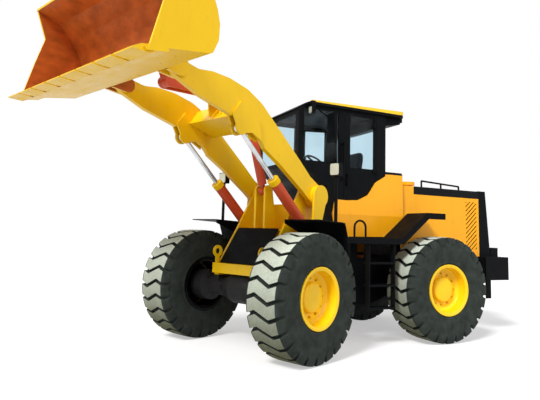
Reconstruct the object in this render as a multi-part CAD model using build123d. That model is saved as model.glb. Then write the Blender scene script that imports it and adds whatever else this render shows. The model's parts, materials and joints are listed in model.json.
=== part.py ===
"""Articulated wheel loader of the 4-tonne class, in millimetres.

The machine is drawn with +Z up, its front towards -Y and its left side
towards +X. Y = 0 is the centre pin between the two frames and Z = 0 is the
ground. Everything ahead of the centre pin is drawn straight ahead and then
turned by ARTICULATION about that pin. The boom and what hangs on it are drawn
in the pose in which the machine is parked.
"""
from build123d import *
import math
import os

# ---- driving dimensions -------------------------------------------------

ORIGIN_SHIFT = (-731.8, 560.9, 0)  # centre pin's foot to the middle of the whole box
ARTICULATION = 21.7                # front frame turned to the left

TYRE_RADIUS = 746.5                # 20.5-25 tyre, out to the lugs' tips
GROOVE_RADIUS = 704                # carcass at the bottom of the grooves
RIM_SEAT_RADIUS = 326
RIM_FLANGE_RADIUS = 360
TYRE_HALF = 260                    # half of the section's width
TREAD_HALF = 226
SHOULDER = (250, 640)              # where the lugs run out on the wall, (x, radius)
LUG_COUNT = 25
GROOVE_HALF_ANGLE = 1.5            # degrees from a groove's middle to a lug
LUG_KINK = (98, 3.4)               # a lug's two bends, at x and by degrees round the tyre
TREAD_PHASE = 1.5                  # degrees by which a groove lies past straight down
RIM_HALF = 246
TRACK_HALF = 1010                  # centre plane of a wheel
AXLE_Y = 1480                      # each axle from the centre pin
AXLE_Z = TYRE_RADIUS
SPINDLE_RADIUS = 90
RUNNING_GAP = 0.05

BOOM_FOOT = (-700, 1992)           # (y, z) of the pin at the arms' foot
BOOM_ANGLE = 26.38                 # from level up to the bucket pin
BOOM_LENGTH = 2673.5               # foot pin to bucket pin
ARM_X = (495, 565)                 # inner and outer face of an arm's plate
LIFT_X = 530                       # middle plane of a lift cylinder
LIFT_BASE = (-780, 1435)
LIFT_EYE_UV = (1640, -23)          # lift rod's pin on the boom, along and across it
BELLCRANK_PIVOT = (-2065, 3290)
BELLCRANK_LINK = (-2860, 3190)     # pin between bellcrank and link
LINK_BUCKET = (-2990, 3500)        # pin between link and bucket
TILT_EYE = (-1545, 3165)           # tilt rod's pin on the bellcrank
TILT_BASE = (-1170, 2050)
BUCKET_TILT = 11                   # bucket floor, nose down
BUCKET_HALF = 1325
TOOTH_COUNT = 8
TOOTH_PITCH = 330
TOOTH_HALF = 148
STEER_BASE = (300, 600, 830)       # steering cylinder's base pin on the rear frame
STEER_EYE = (300, -225)            # its rod pin on the front frame

CAB_HALF = 690
CAB_FRONT = -700
CAB_REAR = 790
CAB_FLOOR = 1640
ROOF_Z = (3290, 3385)
ROOF_LIP = 3330                    # black valance below this height, painted roof above it
ROOF_SLOPE = [(-700, 3222), (-600, 3290)]   # (y, z) of the visor's lower and upper edges
# each lamp under the roof: x, y of its two faces, height of its lower edge
WORK_LAMPS = [(735, -545, -485, 3150), (-735, -545, -485, 3150), (560, 1118, 1180, 3250), (-560, 1118, 1180, 3250)]
HOOD_HALF = 650
HOOD_TOP = 2262
LOUVRE_PITCH = 72                  # slanted slots near the hood's rear
PLATFORM_Z = 1454
DECK_HALF = 1150

PIN_SIDE_GAP = 5                   # side play of an eye between its ears

NODES = {}


# ---- helpers ------------------------------------------------------------

def block(x, y, z):
    """Box from a low and a high limit along each axis."""
    middle = Pos((x[0] + x[1]) / 2, (y[0] + y[1]) / 2, (z[0] + z[1]) / 2)
    return middle * Box(x[1] - x[0], y[1] - y[0], z[1] - z[0])


def outline(corners):
    """Flat face through (a, b) corners; a third value rounds that corner."""
    face = make_face(Polyline(*[corner[:2] for corner in corners], close=True)).face()
    for corner in corners:
        if len(corner) == 3:
            vertex = face.vertices().sort_by_distance(Vector(corner[0], corner[1], 0))[0]
            face = face.fillet_2d(corner[2], [vertex])
    return face


def plate(corners, x):
    """Upright plate along the machine: a (y, z) outline between two x values."""
    return extrude(Plane.YZ.offset(min(x)) * outline(corners), abs(x[1] - x[0]))


def slab(corners, z):
    """Level plate: an (x, y) outline between two heights."""
    return extrude(Plane.XY.offset(min(z)) * outline(corners), abs(z[1] - z[0]))


def cross_section(corners, y):
    """Bar along Y: an (x, z) outline between two y values."""
    return extrude(Plane.XZ.offset(-max(y)) * outline(corners), abs(y[1] - y[0]))


def disc(centre, radius, x):
    """Cylinder along X about a (y, z) centre."""
    middle = Pos((x[0] + x[1]) / 2, centre[0], centre[1])
    return middle * Rot(0, 90, 0) * Cylinder(radius, abs(x[1] - x[0]))


def post(centre, radius, z):
    """Upright cylinder about an (x, y) centre."""
    return Pos(centre[0], centre[1], (z[0] + z[1]) / 2) * Cylinder(radius, abs(z[1] - z[0]))


def turned(corners):
    """Ring or wheel about the X axis from an (x, radius) outline."""
    return revolve(outline(corners), Axis.X, 360)


def bar(start, end, radius):
    """Round bar between two points."""
    axis = Vector(*end) - Vector(*start)
    base = (Align.CENTER, Align.CENTER, Align.MIN)
    return Plane(origin=start, z_dir=axis) * Cylinder(radius, axis.length, align=base)


def both(shape):
    """A shape and its mirror image on the other side."""
    return [shape, mirror(shape, Plane.YZ)]


def joined(*shapes):
    """One solid from shapes that touch or overlap."""
    return shapes[0].fuse(*shapes[1:]).clean()


def along(start, angle, distance):
    """Point at a distance from a (y, z) start, forwards and up by an angle."""
    turn = math.radians(angle)
    return (start[0] - distance * math.cos(turn), start[1] + distance * math.sin(turn))


def span(start, end):
    """Length and upward angle of the line between two (y, z) points, facing forwards."""
    forward, up = start[0] - end[0], end[1] - start[1]
    return math.hypot(forward, up), math.degrees(math.atan2(up, forward))


def boom_point(u, v):
    """Machine (y, z) of a point u along the boom and v across it."""
    foot = along(BOOM_FOOT, BOOM_ANGLE, u)
    return along(foot, BOOM_ANGLE + 90, v)


def boom_plate(corners, x):
    """Plate drawn in the boom's own (u, v) and set at the boom's angle."""
    flipped = [(-corner[0],) + tuple(corner[1:]) for corner in corners]
    return Pos(0, *BOOM_FOOT) * Rot(-BOOM_ANGLE, 0, 0) * plate(flipped, x)


def rear(name, *shapes):
    """Keep a rear-frame node."""
    keep(name, shapes, Location())


def front(name, *shapes):
    """Keep a node that turns with the front frame."""
    keep(name, shapes, Rot(0, 0, ARTICULATION))


def keep(name, shapes, turn):
    """Place a node's solids in the part's own frame."""
    solids = [solid for shape in shapes for solid in shape.solids()]
    NODES[name] = [Pos(*ORIGIN_SHIFT) * turn * solid for solid in solids]


# ---- wheels ---------------------------------------------------------------

def facets(*corners):
    """Flat faces through three or four points, a bent four as two triangles; twin points are dropped."""
    points = [corner for index, corner in enumerate(corners) if (corner - corners[index - 1]).length > 1e-6]
    if len(points) < 3:
        return []
    if len(points) == 4:
        normal = (points[1] - points[0]).cross(points[2] - points[0])
        if abs(normal.normalized().dot(points[3] - points[0])) > 1e-4:
            return facets(points[0], points[1], points[2]) + facets(points[0], points[2], points[3])
    return [make_face(Polyline(*points, close=True)).face()]


def tyre():
    """Lugged tyre about the X axis, its outboard face towards +X, all of flat facets."""
    pitch = 360 / LUG_COUNT
    kink_x, kink = LUG_KINK
    # across the tread: x, radius of the groove's floor, radius of the lug, degrees that the row is turned by
    rows = [
        (-SHOULDER[0], SHOULDER[1], SHOULDER[1], 0), (-TREAD_HALF, GROOVE_RADIUS, TYRE_RADIUS, 0),
        (-kink_x, GROOVE_RADIUS, TYRE_RADIUS, kink), (kink_x, GROOVE_RADIUS, TYRE_RADIUS, -kink),
        (TREAD_HALF, GROOVE_RADIUS, TYRE_RADIUS, 0), (SHOULDER[0], SHOULDER[1], SHOULDER[1], 0)]
    # down a wall to the bead: x, radius
    bead = (RIM_SEAT_RADIUS + RUNNING_GAP) / math.cos(math.radians(pitch / 2))
    wall = [(TYRE_HALF, 520), (238, 376), (222, 366), (222, bead)]

    def at(x, radius, angle):
        turn = math.radians(angle + TREAD_PHASE - 90)
        return Vector(x, -radius * math.cos(turn), radius * math.sin(turn))

    faces = []
    for index in range(LUG_COUNT):
        middle = index * pitch
        start, end = middle + GROOVE_HALF_ANGLE, middle + pitch - GROOVE_HALF_ANGLE
        before = middle - GROOVE_HALF_ANGLE
        for (x, low, high, turn), (next_x, next_low, next_high, next_turn) in zip(rows, rows[1:]):
            for radius, next_radius, low_edge, high_edge in (
                    (low, next_low, before, start), (high, next_high, start, end)):
                faces += facets(
                    at(x, radius, low_edge + turn), at(x, radius, high_edge + turn),
                    at(next_x, next_radius, high_edge + next_turn), at(next_x, next_radius, low_edge + next_turn))
            for edge in (start, end):
                faces += facets(
                    at(x, low, edge + turn), at(x, high, edge + turn),
                    at(next_x, next_high, edge + next_turn), at(next_x, next_low, edge + next_turn))
        for side in (-1, 1):
            ring, after = (wall[0][0] * side, wall[0][1]), middle + pitch
            edge = SHOULDER[0] * side, SHOULDER[1]
            faces += facets(at(*edge, before), at(*edge, start), at(*ring, middle))
            faces += facets(at(*edge, start), at(*edge, end), at(*ring, middle))
            faces += facets(at(*edge, end), at(*ring, after), at(*ring, middle))
            for (x, radius), (next_x, next_radius) in zip(wall, wall[1:]):
                faces += facets(
                    at(x * side, radius, middle), at(x * side, radius, after),
                    at(next_x * side, next_radius, after), at(next_x * side, next_radius, middle))
        x, radius = wall[-1]
        faces += facets(at(-x, radius, middle), at(-x, radius, after), at(x, radius, after), at(x, radius, middle))
    return Solid(Shell(faces))


def wheel_rim():
    """Rim with its dish and the hub's cover about the X axis, outboard towards +X."""
    section = [
        (-RIM_HALF, RIM_FLANGE_RADIUS), (-228, RIM_FLANGE_RADIUS), (-223, RIM_SEAT_RADIUS),
        (223, RIM_SEAT_RADIUS), (228, RIM_FLANGE_RADIUS), (RIM_HALF, RIM_FLANGE_RADIUS),
        (RIM_HALF, 344), (236, 314), (110, 304, 20), (80, 262), (72, 178, 8),
        (126, 174, 8), (138, 160), (146, 100), (150, 0), (34, 0), (34, SPINDLE_RADIUS + RUNNING_GAP),
        (-150, SPINDLE_RADIUS + RUNNING_GAP), (-150, 150), (40, 165), (56, 250),
        (84, 292, 20), (60, 304), (-230, 310), (-RIM_HALF, 344),
    ]
    return turned(section)


def wheels():
    shapes = (("tyre", tyre()), ("rim", wheel_rim()))
    for end, side_names in ((-1, front), (1, rear)):
        for side in (1, -1):
            place = Pos(side * TRACK_HALF, end * AXLE_Y, AXLE_Z)
            name = ("front" if end < 0 else "rear") + ("_left" if side > 0 else "_right")
            for piece, shape in shapes:
                turned_out = shape if side > 0 else mirror(shape, Plane.YZ)
                side_names(piece + "_" + name, place * turned_out)


# ---- axles and drive ------------------------------------------------------

SHAFT_ENDS = {-1: 1390, 1: 695}    # reach of each axle's drive shaft from the axle


def axle(end):
    """Axle housing with its drive nose towards the centre pin and stub spindles."""
    half = [
        (0, 195), (130, 195), (330, 125), (600, 125), (640, 205), (850, 205),
        (850, SPINDLE_RADIUS), (TRACK_HALF + 30, SPINDLE_RADIUS), (TRACK_HALF + 30, 0),
    ]
    housing = turned([(-x, r) for x, r in reversed(half)] + half[1:])
    nose = Plane(origin=(0, 0, 0), z_dir=(0, -end, 0)) * Cone(
        190, 110, 400, align=(Align.CENTER, Align.CENTER, Align.MIN))
    pads = both(block((380, 480), (-110, 110), (60, 154)))
    shaft = bar((0, -end * 390, 0), (0, -end * SHAFT_ENDS[end], 0), 45)
    return Pos(0, end * AXLE_Y, AXLE_Z) * joined(housing, nose, shaft, *pads)


def drive_line():
    front("front_axle", axle(-1))
    rear("rear_axle", axle(1))
    gearbox = joined(
        block((-250, 250), (380, 760), (960, 1180)),
        block((-190, 190), (420, 740), (700, 960)),
        block((-150, 150), (440, 780), (480, 860)),
        block((-390, 390), (540, 600), (1000, 1060)),
        bar((0, 60, AXLE_Z), (0, 440, AXLE_Z), 50))
    rear("gearbox", gearbox)
    engine = block((-330, 330), (1300, 2500), (1180, 2050))
    radiator = block((-600, 600), (2400, 2710), (1230, 2200))
    rear("engine_block", joined(engine, radiator))


# ---- rear frame -------------------------------------------------------------

HINGE_LUGS = ((1000, 1032), (1110, 1142), (508, 540), (618, 650))   # rear frame's plates, low and high
HINGE_EYES = ((1040, 1102), (548, 610))                            # front frame's plates between them
STEER_EARS = (770, 865)                                            # undersides of the ears
HINGE_PIN = 50
HINGE_RADIUS = 150


def hinge_plate(z, way):
    """Level plate with a round nose about the centre pin; way is 1 towards the rear."""
    arm = slab([(-130, 0), (130, 0), (240, way * 330), (-240, way * 330)], z)
    return joined(arm, post((0, 0), HINGE_RADIUS, z))


def rear_frame():
    rail = plate([
        (330, 470), (700, 470), (1150, 640, 80), (1180, 960), (1800, 960), (1900, 640, 80),
        (2640, 700), (2640, 1150), (330, 1150)], (390, 430))
    cross = [
        block((-400, 400), (330, 360), (470, 1150)),
        block((-400, 400), (1000, 1030), (900, 1100)),
        block((-400, 400), (1850, 1880), (720, 1120)),
        block((-400, 400), (1300, 1360), (1120, 1180)),
        block((-400, 400), (2440, 2500), (1120, 1180)),
    ]
    lugs = []
    for low, high in HINGE_LUGS:
        bore = post((0, 0), HINGE_PIN + RUNNING_GAP, (low - 5, high + 5))
        lugs.append(hinge_plate((low, high), 1) - bore)
    ears = [
        steer_ear(side, STEER_BASE[0], (STEER_BASE[1] - 35, STEER_BASE[1] + 45), low)
        for side in (1, -1) for low in STEER_EARS]
    axle_seats = both(block((390, 470), (AXLE_Y - 110, AXLE_Y + 110), (AXLE_Z + 154, 960)))
    mounts = [
        block((x - 15, x + 15), (y - 60, y + 60), (1130, CAB_FLOOR - 40))
        for x in (-410, 410) for y in (420, 680)]
    frame = joined(*both(rail), *cross, *lugs, *ears, *axle_seats, *mounts)
    for window in ((-388, -180), (-70, 70), (180, 388)):
        frame -= block(window, (320, 370), (AXLE_Z - 70, 905))
    rear("rear_frame", frame)
    pins = []
    for low, high in ((508, 650), (1000, 1142)):
        shank = post((0, 0), HINGE_PIN, (low - 12, high))
        head = post((0, 0), 80, (high, high + 26))
        pins.append(joined(shank, head))
    rear("centre_pins", *pins)


def steer_ear(side, x, y, low):
    """Level ear from a frame's side plate in to a steering cylinder's pin."""
    inner = x - 45
    return block(sorted((side * inner, side * 390)), y, (low, low + 25))


def counterweight():
    main = slab([
        (-900, 2600), (900, 2600), (900, 3100, 60), (820, 3187, 40), (-820, 3187, 40), (-900, 3100, 60)],
        (840, 1200))
    main -= block((-440, 440), (2590, 2640), (830, 1210))
    step = block((-HOOD_HALF, HOOD_HALF), (2985, 3150), (1190, 1345))
    hitch = [block((-110, 110), (3000, 3187), (800, 840)), block((-110, 110), (3000, 3187), (640, 680))]
    hitch.append(block((-110, 110), (2900, 3000), (560, 840)))
    hangers = both(block((480, 500), (3040, 3150), (500, 850)))
    body = joined(main, step, *hitch, *hangers)
    body -= post((0, 3120), 27, (600, 900))
    rear("counterweight", body)
    rear("tail_lamps", *both(block((470, 600), (3150, 3175), (1220, 1315))))


def side_skins():
    """Covers below and behind the cab: upright above a crease, leaning in below it."""
    side = plate([
        (-120, 1663), (-140, 1774), (-100, 1976), (90, 1972), (290, 1985, 120), (470, 2070, 120),
        (600, 2262, 120), (840, 2400, 160), (1100, 2410), (1100, 1476), (152, 1460), (82, 1649)], (600, 720))
    lean = cross_section([
        (640, 1440), (672, 1440), (716, 1774), (702, 2430), (CAB_HALF, 2430), (CAB_HALF, CAB_FLOOR - 40),
        (640, CAB_FLOOR - 40)], (-320, 1110))
    deck = block((-CAB_HALF, CAB_HALF), (CAB_REAR, 1100), (CAB_FLOOR - 40, 2437))
    tray = block((-645, 645), (CAB_REAR, 1100), (1480, CAB_FLOOR))
    rear("side_covers", joined(deck, tray, *both(side & lean)))


def hood():
    wall = 12
    shell = plate([(1110, 1200), (2727, 1200), (2727, 2262), (1110, 2262)], (-HOOD_HALF, HOOD_HALF))
    inside = plate([(1110 - 5, 1190), (2740, 1190), (2740, 2262 - wall), (1105, 2262 - wall)],
                   (-HOOD_HALF + wall, HOOD_HALF - wall))
    window_y = (2440, 2680)
    louvre_window = plate([(window_y[0], 1316), (window_y[1], 1316), (window_y[1], 2080), (window_y[0], 2080)], (-800, 800))
    slots = []
    for low in range(1110, 2060, LOUVRE_PITCH):
        slot = plate([
            (window_y[0] - 5, low), (window_y[1] + 5, low + 220), (window_y[1] + 5, low + 248),
            (window_y[0] - 5, low + 28)], (-800, 800))
        slots.append(slot & louvre_window)
    cap = joined(post((380, 1450), 60, (HOOD_TOP - 5, 2300)), post((380, 1450), 125, (2300, 2350)))
    rear("hood", joined((shell - inside).cut(*slots), cap))
    frame = plate([(2727, 1200), (2975, 1200), (2880, 2270), (2727, 2270)], (-HOOD_HALF, HOOD_HALF))
    opening_x = (-HOOD_HALF + 70, HOOD_HALF - 70)
    frame -= plate([(2700, 1266), (3000, 1266), (3000, 2180), (2700, 2180)], opening_x)
    louvres = [
        block((-HOOD_HALF + 70, HOOD_HALF - 70), (2760, 2800), (low, low + 50))
        for low in range(1290, 2150, 90)]
    rear("rear_grille", joined(frame, *louvres))
    rails = []
    for side in (1, -1):
        x = side * (HOOD_HALF - 50)
        rail = [bar((x, 1560, HOOD_TOP + 100), (x, 2340, HOOD_TOP + 60), 14)]
        for y, top in ((1560, 100), (1960, 80), (2340, 60)):
            rail.append(bar((x, y, HOOD_TOP), (x, y, HOOD_TOP + top), 14))
        rails.append(joined(*rail))
    rear("hood_rails", *rails)


def decks():
    """Walkway, rear fender and ladder on each side."""
    pieces = []
    sheet_profile = [
        (-168, PLATFORM_Z), (727, PLATFORM_Z), (1180, 1832), (1521, 1832), (1521, 1820),
        (1185, 1820), (732, PLATFORM_Z - 12), (-168, PLATFORM_Z - 12)]
    lip_profile = [
        (-168, PLATFORM_Z), (727, PLATFORM_Z), (1180, 1832), (1521, 1832), (1521, 1744),
        (1210, 1744), (757, 1372), (-168, 1372)]
    for side in (1, -1):
        inner, outer = sorted((side * 718, side * (DECK_HALF - 12)))
        deck = plate(sheet_profile, (inner, outer))
        lip = plate(lip_profile, sorted((side * (DECK_HALF - 12), side * DECK_HALF)))
        stays = [
            block(sorted((side * 432, side * (DECK_HALF - 12))), (500, 540), (1372, PLATFORM_Z - 12)),
            block(sorted((side * 432, side * (DECK_HALF - 12))), (340, 380), (1372, PLATFORM_Z - 12)),
        ]
        ladder = []
        for y in (180, 600):
            ladder.append(block(sorted((side * 1050, side * 1130)), (y, y + 20), (480, PLATFORM_Z - 12)))
        for z in (500, 800, 1100):
            ladder.append(block(sorted((side * 960, side * 1130)), (200, 600), (z, z + 25)))
        arch = Pos(side * 1130, 30, 1586) * Rot(0, 90, 0) * Torus(90, 14)
        loop = [arch & block(sorted((side * 1100, side * 1160)), (-100, 160), (1586, 1720))]
        for y in (-60, 120):
            loop.append(bar((side * 1130, y, PLATFORM_Z), (side * 1130, y, 1586), 14))
        pieces.append(joined(deck, lip, *stays, *ladder, *loop))
    rear("decks", *pieces)


# ---- cab --------------------------------------------------------------------

CAB_WALL = 35
CAB_SILL = 2452                    # bottom of the rear side glass
CAB_NOSE_SILL = 2500               # bottom of the windscreen and the front side windows
CAB_GLASS_TOP = 3240
WINDSCREEN_TOP = 3160
REAR_GLASS_TOP = 3130
REAR_GLASS_X = (-640, 600)
CAB_POST = (-40, 50)               # fixed post ahead of the door
DOOR_Y = (56, 612)
DOOR_HINGE = (708, 618)            # (x, y) of the hinge's upright axis, outside the door's rear edge
DOOR_CURVE = [(290, 1990, 110), (470, 2078, 110), (612, 2290, 60)]


def door_outline(gap):
    """Door's (y, z) outline, grown outwards by a gap."""
    rear_edge = DOOR_Y[1] + gap
    curve = [(y + gap, z - gap, r) for y, z, r in DOOR_CURVE[:2]] + [(rear_edge, DOOR_CURVE[2][1], 60)]
    return [(DOOR_Y[0] - gap, 1990 - gap)] + curve + [
        (rear_edge, CAB_GLASS_TOP + gap), (DOOR_Y[0] - gap, CAB_GLASS_TOP + gap)]


def cab_shell():
    """Walls and floor; the nose leans out over the towers that turn below it."""
    inner = CAB_HALF - CAB_WALL
    top = ROOF_Z[0]
    shell = plate([
        (CAB_REAR, CAB_FLOOR - 40), (-130, CAB_FLOOR - 40), (-190, 2150), (CAB_FRONT, 2440),
        *ROOF_SLOPE, (CAB_REAR, top)], (-CAB_HALF, CAB_HALF))
    shell -= plate([
        (CAB_REAR - CAB_WALL, CAB_FLOOR), (-95, CAB_FLOOR), (-155, 2130), (CAB_FRONT + CAB_WALL, 2465),
        (CAB_FRONT + CAB_WALL, 3200), (-560, top + 5), (CAB_REAR - CAB_WALL, top + 5)], (-inner, inner))
    front_side = plate([
        (CAB_FRONT + 80, CAB_NOSE_SILL), (CAB_POST[0], CAB_NOSE_SILL), (CAB_POST[0], CAB_GLASS_TOP),
        (CAB_FRONT + 80, CAB_GLASS_TOP)], (-800, 800))
    rear_side = plate([
        (DOOR_Y[0] + 100, CAB_SILL), (550, CAB_SILL), (550, CAB_GLASS_TOP),
        (DOOR_Y[0] + 100, CAB_GLASS_TOP)], (-800, 0))
    windscreen = block(
        (-inner + 60, inner - 60), (CAB_FRONT - 5, CAB_FRONT + CAB_WALL + 5), (CAB_NOSE_SILL, WINDSCREEN_TOP))
    rear_light = block(REAR_GLASS_X, (CAB_REAR - CAB_WALL - 5, CAB_REAR + 5), (2480, REAR_GLASS_TOP))
    shell = shell - front_side - rear_side - windscreen - rear_light - plate(door_outline(6), (0, 800))
    handle = [bar((CAB_HALF + 45, CAB_POST[1] - 30, 2250), (CAB_HALF + 45, CAB_POST[1] - 30, 2800), 12)]
    for z in (2270, 2780):
        handle.append(bar((CAB_HALF - 5, CAB_POST[1] - 30, z), (CAB_HALF + 45, CAB_POST[1] - 30, z), 12))
    return joined(shell, *handle)


def cab():
    inner = CAB_HALF - CAB_WALL
    unit = plate([(CAB_REAR, 3145), (1105, 3205), (1105, ROOF_Z[0]), (CAB_REAR, ROOF_Z[0])], (-640, 640))
    rear("cab_shell", joined(cab_shell(), unit))
    pane = (inner + 14, inner + 20)
    front_pane = ((CAB_FRONT + 80, CAB_POST[0]), (CAB_NOSE_SILL, CAB_GLASS_TOP))
    glass = both(block(pane, *front_pane))
    glass.append(block((-pane[1], -pane[0]), (DOOR_Y[0] + 100, 550), (CAB_SILL, CAB_GLASS_TOP)))
    windscreen_x = (-inner + 60, inner - 60)
    glass.append(block(windscreen_x, (CAB_FRONT + 14, CAB_FRONT + 20), (CAB_NOSE_SILL, WINDSCREEN_TOP)))
    glass.append(block(REAR_GLASS_X, (CAB_REAR - 20, CAB_REAR - 14), (2480, REAR_GLASS_TOP)))
    rear("cab_glass", *glass)
    opening = [(DOOR_Y[0] + 100, CAB_SILL), (DOOR_Y[1] - 30, CAB_SILL), (DOOR_Y[1] - 30, CAB_GLASS_TOP - 20),
               (DOOR_Y[0] + 100, CAB_GLASS_TOP - 20)]
    door = plate(door_outline(0), (inner, CAB_HALF)) - plate(opening, (inner - 5, CAB_HALF + 5))
    knuckles = []
    for z in (2400, 3080):
        knuckles.append(block((CAB_HALF - 5, DOOR_HINGE[0]), (DOOR_Y[1] - 60, DOOR_Y[1]), (z, z + 60)))
        knuckles.append(post(DOOR_HINGE, 12, (z, z + 60)))
    pull = joined(
        block((CAB_HALF - 5, CAB_HALF + 40), (DOOR_Y[0] + 40, DOOR_Y[0] + 60), (2330, 2350)),
        block((CAB_HALF - 5, CAB_HALF + 40), (DOOR_Y[0] + 40, DOOR_Y[0] + 60), (2180, 2200)),
        block((CAB_HALF + 22, CAB_HALF + 40), (DOOR_Y[0] + 40, DOOR_Y[0] + 60), (2180, 2350)))
    rear("door_frame", joined(door, *knuckles, pull))
    rear("door_glass", plate(opening, pane))
    roof_plan = [(-730, -610), (-640, -740), (640, -740), (730, -610), (730, 1120, 60), (-730, 1120, 60)]
    top = plate([(-545, ROOF_LIP), (-515, 3352), (1120, ROOF_Z[1]), (1120, ROOF_LIP)], (-800, 800))
    rear("cab_roof", slab(roof_plan, (ROOF_LIP, ROOF_Z[1])) & top)
    upper, lower = ROOF_SLOPE[1], ROOF_SLOPE[0]
    visor = plate([
        (lower[0] - 30, lower[1]), (upper[0] - 20, upper[1] + 6), (-545, ROOF_LIP), (1120, ROOF_LIP), (1120, ROOF_Z[0]),
        (upper[0], upper[1]), lower], (-800, 800))
    valance = slab(roof_plan, (lower[1], ROOF_LIP)) & visor
    lamps = []
    for x, y, next_y, low in WORK_LAMPS:
        lamps.append(block((x - 40, x + 40), (y, next_y), (low, ROOF_LIP)))
    rear("roof_valance", joined(valance, *lamps))


def cab_inside():
    cushion = block((-250, 250), (200, 560), (2080, 2210))
    seat_back = plate([(562, 2080), (660, 2080), (748, 2830, 40), (648, 2830, 40)], (-270, 270))
    rear("seat", cushion, seat_back)
    wheel_centre = (0, -20, 2560)
    tilt = (0, 260, 330)
    console = joined(
        block((-150, 150), (-85, 0), (CAB_FLOOR, 2250)),
        bar((0, -50, 2200), wheel_centre, 35),
        Plane(origin=wheel_centre, z_dir=tilt) * Torus(190, 14),
        Plane(origin=wheel_centre, z_dir=tilt) * Box(380, 40, 16))
    seat_base = block((-190, 190), (250, 640), (CAB_FLOOR, 2080))
    rear("consoles", console, seat_base, block((-560, -300), (150, 650), (CAB_FLOOR, 2350)))
    mirror_left = joined(
        block((770, 960), (-285, -245), (2752, 3164)),
        bar((CAB_HALF, -450, 3270), (810, -265, 3100), 12),
        bar((CAB_HALF, -660, 2900), (810, -265, 2900), 12))
    mirror_left -= block((0, CAB_HALF), (-700, 0), (2700, 3300))
    rear("mirrors", *both(mirror_left))


# ---- front frame ------------------------------------------------------------

FENDER = [                         # (y, z) along the sheet's top from its front edge, then its underside back
    (-1445, 1650), (-955, 1632), (-895, 1590), (-845, 1455), (-800, 1150),
    (-812, 1150), (-857, 1455), (-904, 1582), (-960, 1620), (-1445, 1638)]
FENDER_X = (640, 1180)
FENDER_GUSSET = [                  # web under the sheet, on its inboard edge
    (-1445, 1645), (-955, 1626), (-895, 1584), (-851, 1455), (-806, 1150), (-880, 1150), (-960, 1420), (-1445, 1600)]
LAMP = (1062, -950, 2303)
TILT_EARS = (70, 105)
CRANK_EARS = (45, 80)
CYLINDER_EYE_HALF = 30


def front_frame():
    inner_plate = plate([
        (-300, 480), (-300, 1180), (-550, 1480, 80), (-550, 2000), (-620, 2130, 60), (-880, 2130, 60),
        (-1240, 1535), (-1600, 1000), (-1600, 960), (-1150, 960, 60), (-1000, 640, 60), (-700, 480)], (410, 445))
    outer_plate = joined(
        plate([(-880, 1220), (-850, 1950), (-580, 1950), (-690, 1600), (-690, 1220)], (610, 640)),
        disc(BOOM_FOOT, 150, (610, 640)))
    shelf = block((445, 640), (-860, -690), (1220, 1250))
    ties = [
        block((-410, 410), (-330, -300), (480, 1180)),
        block((-410, 410), (-1215, -1185), (960, 1535)),
        block((-410, 410), (-640, -610), (1300, 1900)),
        block((-410, 410), (-1240, -640), (1505, 1535)),
        block((-460, 460), (-1640, -1560), (930, 1060)),
    ]
    webs = both(plate([
        (-1240, 1535), (-1240, 2050), (-1100, 2050), (-1000, 1535)], TILT_EARS))
    webs += both(disc(TILT_BASE, 75, TILT_EARS))
    eye_gap = CYLINDER_EYE_HALF + PIN_SIDE_GAP
    base_bosses = both(disc(LIFT_BASE, 85, (445, LIFT_X - eye_gap)))
    base_bosses += both(disc(LIFT_BASE, 85, (LIFT_X + eye_gap, 610)))
    steer_ears = [
        steer_ear(side, STEER_EYE[0], (-315, STEER_EYE[1] + 35), low)
        for side in (1, -1) for low in STEER_EARS]
    steer_ears += [
        block(sorted((side * 390, side * 410)), (-315, STEER_EYE[1] + 35), (low, low + 25))
        for side in (1, -1) for low in STEER_EARS]
    seats = both(block((390, 470), (-AXLE_Y - 110, -AXLE_Y + 110), (AXLE_Z + 154, 960)))
    lifting_eyes = both(joined(
        block((412, 432), (-1620, -1560), (1040, 1180)),
        disc((-1590, 1215), 78, (412, 432))) - disc((-1590, 1215), 40, (400, 440)))
    eyes = [hinge_plate(z, -1) for z in HINGE_EYES]
    side_plates = both(inner_plate) + both(outer_plate) + both(shelf)
    shaped = joined(*side_plates, *ties, *webs, *base_bosses, *seats, *eyes, *steer_ears, *lifting_eyes)
    for low, high in HINGE_EYES:
        shaped -= post((0, 0), HINGE_PIN + RUNNING_GAP, (low - 5, high + 5))
    shaped -= block((-60, 60), (-1300, -290), (AXLE_Z - 60, AXLE_Z + 60))
    front("front_frame", shaped)
    shield = plate([(-1252, 1530), (-1575, 1062), (-1587, 1070), (-1264, 1538)], (-372, 372))
    front("front_shield", shield)
    gusset = plate(FENDER_GUSSET, (FENDER_X[0], FENDER_X[0] + 8))
    front("front_fenders", *both(joined(plate(FENDER, FENDER_X), gusset)))
    lamp = joined(
        block((LAMP[0] - 75, LAMP[0] + 75), (LAMP[1] - 40, LAMP[1] + 40), (LAMP[2] - 82, LAMP[2] + 82)),
        bar((LAMP[0], LAMP[1], 1600), (LAMP[0], LAMP[1], LAMP[2]), 22))
    lamp -= plate(FENDER[:3] + [(-895, 1500), (-1445, 1500)], FENDER_X)
    front("headlamps", *both(lamp))


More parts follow.
